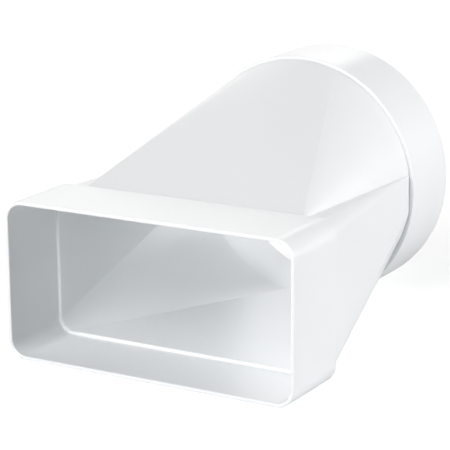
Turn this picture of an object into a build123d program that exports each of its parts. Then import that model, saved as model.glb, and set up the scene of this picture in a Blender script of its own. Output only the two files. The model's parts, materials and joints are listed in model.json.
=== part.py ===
from build123d import *
import os
from math import cos, radians, sin

# A duct adapter, moulded as one piece of white plastic.
# A flat rectangular duct slides into the socket at the front (-Y), a round duct into the collar at the
# back (+Y), and the body between them changes from rectangle to circle above a level underside.
# X runs across the duct, Y along it and Z up. The origin is on the floor, under the middle of the length.

# Rectangular socket: inside sizes, for a flat duct of nominal 120 x 60 mm
socket_width = 121.0
socket_height = 59.4
socket_corner = 6.2
socket_depth = 31.6
socket_wall = 1.6

# Stop shoulder inside the socket, where the flat duct ends
stop_height = 1.2
stop_thickness = 1.2

# Body: a tapering box stepped in from the socket's outside, and a sloping crown, narrower in front
body_length = 86.9
socket_step = 1.4
crown_width = 97.0
crown_corner = 0.8
crown_sink = 0.1
inner_crown_sink = 0.7
ledge_corner = 0.6
side_flat_angle = 8.8
floor_flat_angle = 8.0
lower_flattening = 1.1
crown_side_angle = 10.3
crown_flat_angle = 19.0

# Round collar: inside size, for a round duct of nominal 100 mm
collar_bore = 100.4
collar_length = 32.7
collar_wall = 1.4
collar_step = 1.2

# Throat: the end of the body's air way, which stops the round duct
throat_length = 1.4
throat_wall = 2.0

# Softened edges
rim_radius = 0.5
step_radius = 0.4

# Places along the duct, and heights, that follow from those sizes
total_length = socket_depth + stop_thickness + body_length + collar_length
mouth_y = -total_length / 2
stop_y = mouth_y + socket_depth
body_start_y = stop_y + stop_thickness
body_end_y = body_start_y + body_length
throat_end_y = body_end_y + throat_length
collar_end_y = total_length / 2
socket_middle_z = socket_wall + socket_height / 2
collar_radius = collar_bore / 2 + collar_wall
collar_axis_z = collar_radius
body_margin = socket_wall - socket_step
body_end_radius = collar_radius - collar_step


def across(y):
    """The plane across the duct at y, with X to the right and Z up."""
    return Plane(origin=(0, y, 0), x_dir=(1, 0, 0), z_dir=(0, -1, 0))


def on_circle(radius, angle):
    """The point at an angle, from +X towards +Z, on a circle about the collar's axis."""
    return (radius * cos(radians(angle)), collar_axis_z + radius * sin(radians(angle)))


def mirrored(edges):
    """The same edges on the other side of the duct's middle plane."""
    return [mirror(edge, about=Plane.YZ) for edge in edges]


def rectangle_section(y, margin):
    """The socket's inside outline, moved outwards by margin."""
    width = socket_width + 2 * margin
    height = socket_height + 2 * margin
    return across(y) * Pos(0, socket_middle_z) * RectangleRounded(width, height, socket_corner + margin)


def round_section(y, radius):
    """A circle about the collar's axis."""
    return across(y) * Pos(0, collar_axis_z) * Circle(radius)


def box_end_section(y, radius):
    """The box's end: the lower part of the circle, flattened at the sides, floor and corners, level on top."""
    floor_end = on_circle(radius, floor_flat_angle - 90)
    arc_middle = on_circle(radius - lower_flattening, (floor_flat_angle - 90 - side_flat_angle) / 2)
    side_low = on_circle(radius, -side_flat_angle)
    side_x, top_z = on_circle(radius, side_flat_angle)
    side_high = (side_x, top_z - ledge_corner)
    top_end = (side_x - ledge_corner, top_z)
    floor = Line((-floor_end[0], floor_end[1]), floor_end)
    right_half = [
        ThreePointArc(floor_end, arc_middle, side_low),
        Line(side_low, side_high),
        RadiusArc(side_high, top_end, -ledge_corner),
    ]
    top = Line(top_end, (-top_end[0], top_end[1]))
    return across(y) * make_face([floor, *right_half, top, *mirrored(right_half)])


def crown_start_section(y, half_width, top_z):
    """The crown's front: upright sides from half the socket's height, and a level top."""
    corner_x = half_width - crown_corner
    corner_z = top_z - crown_corner
    base = Line((-half_width, socket_middle_z), (half_width, socket_middle_z))
    right_half = [
        Line((half_width, socket_middle_z), (half_width, corner_z)),
        RadiusArc((half_width, corner_z), (corner_x, top_z), -crown_corner),
    ]
    top = Line((corner_x, top_z), (-corner_x, top_z))
    return across(y) * make_face([base, *right_half, top, *mirrored(right_half)])


def crown_end_section(y, radius):
    """The crown's end: the circle above its upright sides, closed at the collar's axis."""
    side_x, side_z = on_circle(radius, crown_side_angle)
    top_start = on_circle(radius, 90 - crown_flat_angle)
    arc_middle = on_circle(radius, (crown_side_angle + 90 - crown_flat_angle) / 2)
    base = Line((-side_x, collar_axis_z), (side_x, collar_axis_z))
    right_half = [
        Line((side_x, collar_axis_z), (side_x, side_z)),
        ThreePointArc((side_x, side_z), arc_middle, top_start),
    ]
    top = ThreePointArc(top_start, on_circle(radius, 90), (-top_start[0], top_start[1]))
    return across(y) * make_face([base, *right_half, top, *mirrored(right_half)])


def body_form(start_y, end_y, margin, sink, crown_half_width, end_radius):
    """The box and its crown between two planes, from a margin around the socket's inside to a circle."""
    box_start = rectangle_section(start_y, margin)
    box_end = box_end_section(end_y, end_radius)
    box = loft([box_start.face(), box_end.face()], ruled=True)
    crown_z = socket_middle_z + socket_height / 2 + margin - sink
    crown_start = crown_start_section(start_y, crown_half_width, crown_z)
    crown_end = crown_end_section(end_y, end_radius)
    crown = loft([crown_start.face(), crown_end.face()], ruled=True)
    return box + crown


def edges_at(solid, y):
    """The edges that lie in the plane across the duct at y."""
    return solid.edges().filter_by_position(Axis.Y, y, y)


def adapter_body():
    """The whole moulding: socket, body and collar outside, and the air's way through them."""
    socket = extrude(rectangle_section(mouth_y, socket_wall), amount=body_start_y - mouth_y, dir=(0, 1, 0))
    body = body_form(body_start_y, body_end_y, body_margin, crown_sink, crown_width / 2, body_end_radius)
    collar = extrude(round_section(body_end_y, collar_radius), amount=collar_length, dir=(0, 1, 0))
    socket = fillet(edges_at(socket, body_start_y), step_radius)
    collar = fillet(edges_at(collar, body_end_y), step_radius)

    socket_space = extrude(rectangle_section(mouth_y, 0), amount=socket_depth, dir=(0, 1, 0))
    inner_half_width = crown_width / 2 - body_margin - stop_height
    throat_radius = body_end_radius - throat_wall
    air_way = body_form(stop_y, throat_end_y, -stop_height, inner_crown_sink, inner_half_width, throat_radius)
    collar_space = extrude(
        round_section(throat_end_y, collar_bore / 2),
        amount=collar_end_y - throat_end_y,
        dir=(0, 1, 0),
    )
    moulding = socket + body + collar - socket_space - air_way - collar_space
    return fillet(edges_at(moulding, mouth_y) + edges_at(moulding, collar_end_y), rim_radius)


os.makedirs("parts", exist_ok=True)
export_step(adapter_body(), "parts/adapter_body.step")
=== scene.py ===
import json
import math

import bpy
import numpy as np
from mathutils import Matrix, Vector


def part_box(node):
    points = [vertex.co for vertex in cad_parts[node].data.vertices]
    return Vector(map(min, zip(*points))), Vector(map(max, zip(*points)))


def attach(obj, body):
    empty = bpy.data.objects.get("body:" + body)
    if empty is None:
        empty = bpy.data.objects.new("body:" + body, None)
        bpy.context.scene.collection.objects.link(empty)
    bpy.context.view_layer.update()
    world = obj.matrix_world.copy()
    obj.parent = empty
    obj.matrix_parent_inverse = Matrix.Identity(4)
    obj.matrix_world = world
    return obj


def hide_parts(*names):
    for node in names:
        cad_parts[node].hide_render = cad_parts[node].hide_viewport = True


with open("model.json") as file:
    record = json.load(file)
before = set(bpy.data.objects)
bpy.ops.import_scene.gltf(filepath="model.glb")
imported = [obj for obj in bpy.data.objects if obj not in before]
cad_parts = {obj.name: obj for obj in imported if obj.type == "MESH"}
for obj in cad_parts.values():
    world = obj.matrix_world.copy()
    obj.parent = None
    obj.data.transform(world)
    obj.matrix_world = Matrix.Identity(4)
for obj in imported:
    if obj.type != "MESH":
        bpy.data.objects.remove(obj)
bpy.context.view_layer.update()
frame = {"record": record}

# The adapter: a rectangular socket, a body that turns the rectangle into a circle, and a round collar.
# It is one injection moulding of white ABS, with walls mostly 1.4 to 2 mm thick. Its skin is drawn as
# outlines across the duct, which run along the outside from mouth to collar and back along the inside.
mm = 0.001
low, high = (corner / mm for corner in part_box("adapter_body"))
mounts = {mount["name"]: mount for mount in frame["record"]["mounts"]}

# Places along the duct (y) and sizes across it, in millimetres
mouth_y = low.y
collar_end_y = high.y
collar_radius = mounts["round_collar"]["dims"]["r_mm"]
collar_bore_radius = mounts["collar_bore"]["dims"]["r_mm"]
collar_axis_z = mounts["round_collar"]["pos_m"][2] / mm
socket_wall = 1.6
socket_depth = 31.6
socket_corner = 6.2
socket_half_width = high.x - socket_wall
socket_height = 59.4
stop_height = 1.2
stop_thickness = 1.2
throat_wall = 2.0
socket_step = 1.4
collar_step = 1.2
collar_length = 32.7
throat_length = 1.4
stop_y = mouth_y + socket_depth
body_start_y = stop_y + stop_thickness
body_end_y = collar_end_y - collar_length
throat_end_y = body_end_y + throat_length
socket_middle_z = socket_wall + socket_height / 2

# The body's flats and edges: the crown is narrower than the socket and leaves a ledge on each side
crown_half_width = 48.5
crown_corner = 0.8
crown_sink = 0.1
inner_crown_sink = 0.7
ledge_corner = 0.6
side_flat_angle = 8.8
floor_flat_angle = 8.0
lower_flattening = 1.1
crown_side_angle = 10.3
crown_flat_angle = 19.0
rim_radius = 0.5
step_radius = 0.4
stop_radius = 0.4

# Points on each stretch of half an outline, from the middle of the floor to the middle of the top
floor_points = 12
corner_points = 28
side_points = 12
edge_points = 26
crown_points = 44
top_points = 14

# Where the stretches of the upper edge and of the crown start on the collar, in degrees above its axis
collar_edge_angle = 0
collar_crown_angle = 2

# Points on the paths that are spread again, steps round a soft edge, and rows along the body, closer in front
socket_edge_points = 60
path_points = 400
soft_edge_steps = 4
body_rows = 33
row_crowding = 1.5


def straight(start, end, count):
    """Points from start towards end, without the end."""
    share = np.arange(count)[:, None] / count
    return (1 - share) * np.array(start) + share * np.array(end)


def bend(centre, radius, first_angle, last_angle, count):
    """Points on an arc, from the first angle towards the last, without the last."""
    angle = np.radians(first_angle + (last_angle - first_angle) * np.arange(count) / count)
    return np.array(centre) + radius * np.stack([np.cos(angle), np.sin(angle)], axis=1)


def on_circle(radius, angle):
    """The point at an angle, from +X towards +Z, on a circle about the collar's axis."""
    turn = math.radians(angle)
    return np.array([radius * math.cos(turn), collar_axis_z + radius * math.sin(turn)])


def whole(half):
    """Both halves of an outline, from the half with x above nought."""
    half = np.vstack(half)
    return np.vstack([half, half[-2:0:-1] * (-1, 1)])


def spread(path, count):
    """Points at even steps along a path, without its end."""
    run = np.concatenate([[0], np.cumsum(np.hypot(*np.diff(path, axis=0).T))])
    steps = run[-1] * np.arange(count) / count
    return np.stack([np.interp(steps, run, path[:, i]) for i in (0, 1)], axis=1)


def rectangle_half(margin):
    """The socket's inside outline moved outwards by margin, in the stretches that the body continues."""
    half_width = socket_half_width + margin
    corner = socket_corner + margin
    floor_z = socket_wall - margin
    top_z = socket_wall + socket_height + margin
    edge_x = half_width - corner
    nose_x = crown_half_width - crown_corner
    upper_corner = bend((edge_x, top_z - corner), corner, 0, 90, socket_edge_points)
    edge = np.vstack([upper_corner, [(edge_x, top_z), (nose_x, top_z)]])
    return [
        straight((0, floor_z), (edge_x, floor_z), floor_points),
        bend((edge_x, floor_z + corner), corner, -90, 0, corner_points),
        straight((half_width, floor_z + corner), (half_width, top_z - corner), side_points),
        spread(edge, edge_points),
        np.tile((nose_x, top_z), (crown_points, 1)),
        straight((nose_x, top_z), (0, top_z), top_points),
        [(0, top_z)],
    ]


def round_half(radius):
    """A circle about the collar's axis, in the stretches that the body ends with."""
    stops = [
        -90,
        floor_flat_angle - 90,
        -side_flat_angle,
        collar_edge_angle,
        collar_crown_angle,
        90 - crown_flat_angle,
        90,
    ]
    counts = [floor_points, corner_points, side_points, edge_points, crown_points, top_points]
    centre = (0, collar_axis_z)
    arcs = [bend(centre, radius, *stops[i:i + 2], count) for i, count in enumerate(counts)]
    return [*arcs, [on_circle(radius, 90)]]


def cut_at_valley(box_edge, crown_side):
    """Both paths cut where the box's upper edge, followed upwards, runs into the crown's side."""
    gap = box_edge[:, 0] - np.interp(box_edge[:, 1], crown_side[:, 1], crown_side[:, 0])
    last = int(np.argmax(gap <= 0)) - 1
    share = gap[last] / (gap[last] - gap[last + 1])
    valley = (1 - share) * box_edge[last] + share * box_edge[last + 1]
    above = crown_side[crown_side[:, 1] > valley[1]]
    crown_start = (crown_side[-1, 0], max(crown_side[-1, 1], valley[1]))
    return np.vstack([box_edge[:last + 1], valley]), np.vstack([valley, above, crown_start])


def lower_corner(radius):
    """The body's lower corner at its round end: an arc between the flats, flatter than the circle."""
    middle = (floor_flat_angle - 90 - side_flat_angle) / 2
    half_turn = middle + 90 - floor_flat_angle
    chord_rise = radius * (1 - math.cos(math.radians(half_turn))) - lower_flattening
    chord_half = radius * math.sin(math.radians(half_turn))
    arc_radius = (chord_half ** 2 + chord_rise ** 2) / (2 * chord_rise)
    arc_turn = math.degrees(math.asin(chord_half / arc_radius))
    centre = on_circle(radius - lower_flattening - arc_radius, middle)
    return bend(centre, arc_radius, middle - arc_turn, middle + arc_turn, corner_points)


def body_half(share, margin, sink, half_width, radius):
    """The body's outline at a share of its length, from a margin around the socket's inside to a circle.
    A tapering box with rounded edges meets the crown above it at a valley on each side."""
    centre = (0, collar_axis_z)

    def between(start, end):
        return (1 - share) * np.array(start) + share * np.array(end)

    start = rectangle_half(margin)
    corner = socket_corner + margin
    top_z = socket_wall + socket_height + margin
    edge_x = socket_half_width + margin - corner
    side_x, side_z = on_circle(radius, side_flat_angle)
    side_low = on_circle(radius, -side_flat_angle)
    floor_end = on_circle(radius, floor_flat_angle - 90)
    end_x, end_z = side_x - ledge_corner, side_z - ledge_corner
    floor = between(start[0], straight((0, floor_end[1]), floor_end, floor_points))
    lower = between(start[1], lower_corner(radius))
    side = between(start[2], straight(side_low, (side_x, end_z), side_points))
    box_edge = np.vstack([
        between(
            bend((edge_x, top_z - corner), corner, 0, 90, path_points),
            bend((end_x, end_z), ledge_corner, 0, 90, path_points),
        ),
        between(
            straight((edge_x, top_z), (0, top_z), path_points),
            straight((end_x, side_z), (0, side_z), path_points),
        ),
    ])

    crown_z = top_z - sink
    nose_x, nose_z = half_width - crown_corner, crown_z - crown_corner
    foot = on_circle(radius, crown_side_angle)
    arch_end = 90 - crown_flat_angle
    crown_side = np.vstack([
        between(
            straight((half_width, socket_middle_z), (half_width, nose_z), path_points),
            straight((foot[0], collar_axis_z), foot, path_points),
        ),
        between(
            bend((nose_x, nose_z), crown_corner, 0, 90, path_points),
            bend(centre, radius, crown_side_angle, arch_end, path_points),
        ),
        between([(nose_x, crown_z)], [on_circle(radius, arch_end)]),
    ])
    edge, cone = cut_at_valley(box_edge, crown_side)
    top = between(
        straight((nose_x, crown_z), (0, crown_z), top_points),
        bend(centre, radius, arch_end, 90, top_points),
    )
    middle = between([(0, crown_z)], [on_circle(radius, 90)])
    roof = np.vstack([top, middle])
    roof[:, 1] = np.maximum(roof[:, 1], cone[-1, 1])
    return [floor, lower, side, spread(edge, edge_points), spread(cone, crown_points), roof]


def rounded_edge(from_y, from_offset, to_y, to_offset):
    """Places (y, offset) along a quarter turn that leaves along y and arrives along the offset."""
    turns = [math.radians(90 * i / soft_edge_steps) for i in range(soft_edge_steps + 1)]
    return [
        (from_y + (to_y - from_y) * math.sin(a), to_offset + (from_offset - to_offset) * math.cos(a))
        for a in turns
    ]


def stations():
    """Every outline in turn, as (y, points): along the outside, round the collar's rim, back inside."""
    rows = []

    def socket(places):
        rows.extend((y, whole(rectangle_half(margin))) for y, margin in places)

    def collar(places):
        rows.extend((y, whole(round_half(radius))) for y, radius in places)

    def body(from_y, to_y, shares, *sizes):
        rows.extend((from_y + (to_y - from_y) * s, whole(body_half(s, *sizes))) for s in shares)

    shares = np.linspace(0, 1, body_rows) ** row_crowding
    soft_rim = socket_wall - rim_radius
    soft_socket = socket_wall - step_radius
    soft_collar = collar_radius - step_radius
    outer_rim = collar_radius - rim_radius
    inner_rim = collar_bore_radius + rim_radius
    rim_start_y = collar_end_y - rim_radius
    body_end_radius = collar_radius - collar_step
    throat_radius = body_end_radius - throat_wall
    body_margin = socket_wall - socket_step
    inner_half_width = crown_half_width - (body_margin + stop_height)
    socket([(mouth_y + rim_radius, socket_wall), (stop_y, socket_wall)])
    socket(rounded_edge(body_start_y - step_radius, socket_wall, body_start_y, soft_socket))
    body(body_start_y, body_end_y, shares, body_margin, crown_sink, crown_half_width, body_end_radius)
    collar(reversed(rounded_edge(body_end_y + step_radius, collar_radius, body_end_y, soft_collar)))
    collar(rounded_edge(rim_start_y, collar_radius, collar_end_y, outer_rim))
    collar(reversed(rounded_edge(rim_start_y, collar_bore_radius, collar_end_y, inner_rim)))
    collar([(throat_end_y, collar_bore_radius)])
    inner_sizes = (-stop_height, inner_crown_sink, inner_half_width, throat_radius)
    body(stop_y, throat_end_y, shares[:0:-1], *inner_sizes)
    socket(rounded_edge(stop_y + stop_radius, -stop_height, stop_y, stop_radius - stop_height))
    socket([(stop_y, 0)])
    socket(rounded_edge(mouth_y + rim_radius, 0, mouth_y, rim_radius))
    socket(reversed(rounded_edge(mouth_y + rim_radius, socket_wall, mouth_y, soft_rim)))
    return rows


rows = stations()
outlines = bpy.data.curves.new("adapter_outlines", "CURVE")
outlines.dimensions = "3D"
for y, points in rows:
    spline = outlines.splines.new("POLY")
    spline.points.add(len(points) - 1)
    spline.use_cyclic_u = True
    place = np.column_stack([points[:, 0], np.full(len(points), y), points[:, 1]]) * mm
    spline.points.foreach_set("co", np.column_stack([place, np.ones(len(points))]).ravel())
outline_object = bpy.data.objects.new("adapter_outlines", outlines)
bpy.context.scene.collection.objects.link(outline_object)


def add(tree, kind, links=(), **settings):
    """Adds a node, sets its properties, and links or sets the inputs in (source, input) pairs."""
    node = tree.nodes.new(kind)
    for name, value in settings.items():
        setattr(node, name, value)
    for source, target in links:
        if isinstance(source, bpy.types.NodeSocket):
            tree.links.new(source, node.inputs[target])
        else:
            node.inputs[target].default_value = source
    return node


def compute(tree, operation, *values):
    """The result of a math node on sockets or numbers."""
    links = [(value, i) for i, value in enumerate(values)]
    return add(tree, "ShaderNodeMath", links, operation=operation).outputs[0]


def skin_tree(material):
    """A node tree that pulls one closed skin of quads over a ring of outlines with equal point counts."""
    weld_distance = 0.000002
    tree = bpy.data.node_groups.new("skin_over_outlines", "GeometryNodeTree")
    face = tree.interface
    face.new_socket("Outlines", in_out="INPUT", socket_type="NodeSocketGeometry")
    face.new_socket("Points Around", in_out="INPUT", socket_type="NodeSocketInt")
    face.new_socket("Rows", in_out="INPUT", socket_type="NodeSocketInt")
    face.new_socket("Sharp Angle", in_out="INPUT", socket_type="NodeSocketFloat")
    face.new_socket("Skin", in_out="OUTPUT", socket_type="NodeSocketGeometry")
    given = add(tree, "NodeGroupInput").outputs
    around, count = given["Points Around"], given["Rows"]

    # A flat grid with one row and one column to spare, which come to lie on the first ones
    around_end = compute(tree, "ADD", around, 1.0)
    count_end = compute(tree, "ADD", count, 1.0)
    grid = add(tree, "GeometryNodeMeshGrid", [(around_end, "Vertices X"), (count_end, "Vertices Y")])

    # Each corner of the grid goes to its own point of its own outline
    index = add(tree, "GeometryNodeInputIndex").outputs[0]
    grid_row = compute(tree, "MODULO", index, count_end)
    grid_column = compute(tree, "FLOOR", compute(tree, "DIVIDE", index, count_end))
    row = compute(tree, "MODULO", grid_row, count)
    column = compute(tree, "MODULO", grid_column, around)
    pick = compute(tree, "MULTIPLY_ADD", row, around, column)
    place = add(tree, "GeometryNodeInputPosition").outputs[0]
    sample = add(
        tree,
        "GeometryNodeSampleIndex",
        [(given["Outlines"], "Geometry"), (place, "Value"), (pick, "Index")],
        data_type="FLOAT_VECTOR",
        domain="POINT",
    )
    moves = [(grid.outputs["Mesh"], "Geometry"), (sample.outputs[0], "Position")]
    skin = add(tree, "GeometryNodeSetPosition", moves).outputs[0]
    welds = [(skin, "Geometry"), (weld_distance, "Distance")]
    closed = add(tree, "GeometryNodeMergeByDistance", welds).outputs[0]

    # Edges that fold less than the sharp angle are shaded as one soft surface
    fold = add(tree, "GeometryNodeInputMeshEdgeAngle").outputs["Unsigned Angle"]
    folds = [(fold, "A"), (given["Sharp Angle"], "B")]
    soft = add(tree, "FunctionNodeCompare", folds, operation="LESS_THAN").outputs[0]
    shades = [(closed, "Geometry"), (soft, "Shade Smooth")]
    smooth = add(tree, "GeometryNodeSetShadeSmooth", shades, domain="EDGE").outputs[0]
    real = add(tree, "GeometryNodeRealizeInstances", [(smooth, "Geometry")]).outputs[0]
    coated = add(tree, "GeometryNodeSetMaterial", [(real, "Geometry"), (material, "Material")]).outputs[0]
    add(tree, "NodeGroupOutput", [(coated, "Skin")])
    return tree


def linear(hex_colour):
    """An sRGB hex colour as linear RGBA."""
    parts = [int(hex_colour[i:i + 2], 16) / 255 for i in (0, 2, 4)]
    return tuple(p / 12.92 if p <= 0.04045 else ((p + 0.055) / 1.055) ** 2.4 for p in parts) + (1.0,)


def white_abs():
    """Satin white ABS from a polished mould: a faint cool white, with a soft gloss that wavers a little
    where the melt flowed and the thick places sank, and a very fine grain in the skin."""
    material = bpy.data.materials.new("white_moulded_abs")
    material.use_nodes = True
    tree = material.node_tree
    shader = tree.nodes["Principled BSDF"]
    shader.inputs["IOR"].default_value = 1.53
    place = add(tree, "ShaderNodeTexCoord").outputs["Object"]

    def noise(width):
        """Soft noise with patches about as wide as given."""
        links = [(place, "Vector"), (1 / width, "Scale"), (2.0, "Detail")]
        return add(tree, "ShaderNodeTexNoise", links).outputs["Fac"]

    flow = noise(22 * mm)
    grain = noise(0.6 * mm)
    first_colour, second_colour, mixed_colour = 6, 7, 2
    tint = add(tree, "ShaderNodeMix", [(flow, "Factor")], data_type="RGBA")
    tint.inputs[first_colour].default_value = linear("EDF0F2")
    tint.inputs[second_colour].default_value = linear("EFF2F4")
    tree.links.new(tint.outputs[mixed_colour], shader.inputs["Base Color"])
    gloss_range = [(0.3, "From Min"), (0.7, "From Max"), (0.29, "To Min"), (0.34, "To Max")]
    gloss = add(tree, "ShaderNodeMapRange", [(flow, "Value"), *gloss_range]).outputs[0]
    tree.links.new(gloss, shader.inputs["Roughness"])
    sinks = [(flow, "Height"), (0.1, "Strength"), (0.2 * mm, "Distance")]
    waver = add(tree, "ShaderNodeBump", sinks).outputs[0]
    grains = [(grain, "Height"), (waver, "Normal"), (0.05, "Strength"), (0.02 * mm, "Distance")]
    fine = add(tree, "ShaderNodeBump", grains).outputs[0]
    tree.links.new(fine, shader.inputs["Normal"])
    return material


sharp_angle = math.radians(24)
plastic = white_abs()
skin = outline_object.modifiers.new("skin", "NODES")
skin.node_group = skin_tree(plastic)
inputs = [item for item in skin.node_group.interface.items_tree if item.in_out == "INPUT"]
sockets = {item.name: item.identifier for item in inputs}
skin[sockets["Points Around"]] = len(rows[0][1])
skin[sockets["Rows"]] = len(rows)
skin[sockets["Sharp Angle"]] = sharp_angle
evaluated = outline_object.evaluated_get(bpy.context.evaluated_depsgraph_get())
mesh = bpy.data.meshes.new_from_object(evaluated)
mesh.name = "adapter_moulding"
bpy.data.objects.remove(outline_object)
bpy.data.curves.remove(outlines)
moulding = bpy.data.objects.new("adapter_moulding", mesh)
bpy.context.scene.collection.objects.link(moulding)
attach(moulding, "root")
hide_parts("adapter_body")

# The studio floor: a wide sheet of white card under the adapter, which runs on into a white surround.
# It glows a little in view, so that it is white where no shadow falls, and keeps the adapter's soft shadow.
floor_half = 4.0
card_glow = 0.6
floor_mesh = bpy.data.meshes.new("studio_floor")
corners = [
    (-floor_half, -floor_half, 0),
    (floor_half, -floor_half, 0),
    (floor_half, floor_half, 0),
    (-floor_half, floor_half, 0),
]
floor_mesh.from_pydata(corners, [], [(0, 1, 2, 3)])
floor = bpy.data.objects.new("studio_floor", floor_mesh)
bpy.context.scene.collection.objects.link(floor)
card = bpy.data.materials.new("white_card")
card.use_nodes = True
card_tree = card.node_tree
card_tree.nodes.clear()
path = add(card_tree, "ShaderNodeLightPath").outputs
seen = compute(card_tree, "MAXIMUM", path["Is Camera Ray"], path["Is Transmission Ray"])
strength = compute(card_tree, "MULTIPLY", seen, card_glow)
paper = add(card_tree, "ShaderNodeBsdfDiffuse", [(linear("E7E8E9"), "Color")]).outputs[0]
glows = [(linear("FFFFFF"), "Color"), (strength, "Strength")]
glow = add(card_tree, "ShaderNodeEmission", glows).outputs[0]
lit = add(card_tree, "ShaderNodeAddShader", [(paper, 0), (glow, 1)]).outputs[0]
add(card_tree, "ShaderNodeOutputMaterial", [(lit, "Surface")])
floor_mesh.materials.append(card)

# The surround: a plain white room. It is white in view and in the plastic's reflections, and gives no
# other light, so that the shading comes from the lamps alone.
world = bpy.data.worlds.new("white_room")
bpy.context.scene.world = world
world.use_nodes = True
room = world.node_tree
room.nodes.clear()
room_path = add(room, "ShaderNodeLightPath").outputs
in_view = compute(room, "MAXIMUM", room_path["Is Camera Ray"], room_path["Is Transmission Ray"])
level = compute(room, "MAXIMUM", in_view, room_path["Is Glossy Ray"])
walls = [(linear("FFFFFF"), "Color"), (level, "Strength")]
white_room = add(room, "ShaderNodeBackground", walls).outputs[0]
add(room, "ShaderNodeOutputWorld", [(white_room, "Surface")])

# The lamps: eight square soft boxes at one distance, all turned to the adapter. Most of the light comes
# from in front of the mouth and from low on the right, and a little from behind on the left.
lamp_distance = 1.5
lamp_size = 0.8
lamp_colour = (1.0, 0.985, 0.975)
lamp_aim = Vector((0, 0, 50 * mm))


def direction(azimuth, elevation):
    """From the adapter to a lamp or the camera. Azimuth 0 is in front of the mouth, 90 to its right."""
    turn, rise = math.radians(azimuth), math.radians(elevation)
    return Vector((math.sin(turn) * math.cos(rise), -math.cos(turn) * math.cos(rise), math.sin(rise)))


def soft_box(name, azimuth, elevation, power):
    """A square soft box that faces the adapter."""
    data = bpy.data.lights.new(name, "AREA")
    data.size = lamp_size
    data.energy = power
    data.color = lamp_colour
    lamp = bpy.data.objects.new(name, data)
    back = direction(azimuth, elevation)
    lamp.location = lamp_aim + back * lamp_distance
    lamp.rotation_euler = back.to_track_quat("Z", "Y").to_euler()
    bpy.context.scene.collection.objects.link(lamp)


soft_box("front_soft_box", azimuth=-5, elevation=20, power=11.5)
soft_box("low_front_soft_box", azimuth=-18, elevation=8, power=2.1)
soft_box("high_front_soft_box", azimuth=0, elevation=35, power=5.5)
soft_box("top_front_soft_box", azimuth=-12, elevation=50, power=4.3)
soft_box("low_right_soft_box", azimuth=120, elevation=8, power=18.2)
soft_box("right_soft_box", azimuth=105, elevation=20, power=3.7)
soft_box("low_left_back_soft_box", azimuth=-150, elevation=8, power=1.5)
soft_box("left_back_soft_box", azimuth=-150, elevation=35, power=3.6)

# The camera: a long lens, a little above the adapter and to the right of its mouth, about 0.8 m away.
# It sees into the mouth, along the body's right side and over the crown to the collar.
view_azimuth = 30.342
view_elevation = 14.877
view_roll = -0.508
view_distance = 774.5 * mm
view_target = Vector((-0.854, -15.95, 46.177)) * mm
focal_pixels = 1995.9
frame_pixels = 450
camera_data = bpy.data.cameras.new("camera")
camera_data.sensor_width = 36.0
camera_data.lens = focal_pixels / frame_pixels * camera_data.sensor_width
camera = bpy.data.objects.new("camera", camera_data)
bpy.context.scene.collection.objects.link(camera)
back = direction(view_azimuth, view_elevation)
turn = math.radians(view_azimuth)
right = Vector((math.cos(turn), math.sin(turn), 0))
upright = Matrix((right, back.cross(right), back)).transposed()
roll = Matrix.Rotation(math.radians(view_roll), 4, "Z")
camera.matrix_world = Matrix.Translation(view_target + back * view_distance) @ upright.to_4x4() @ roll
bpy.context.scene.camera = camera
bpy.context.scene.view_settings.view_transform = "Standard"
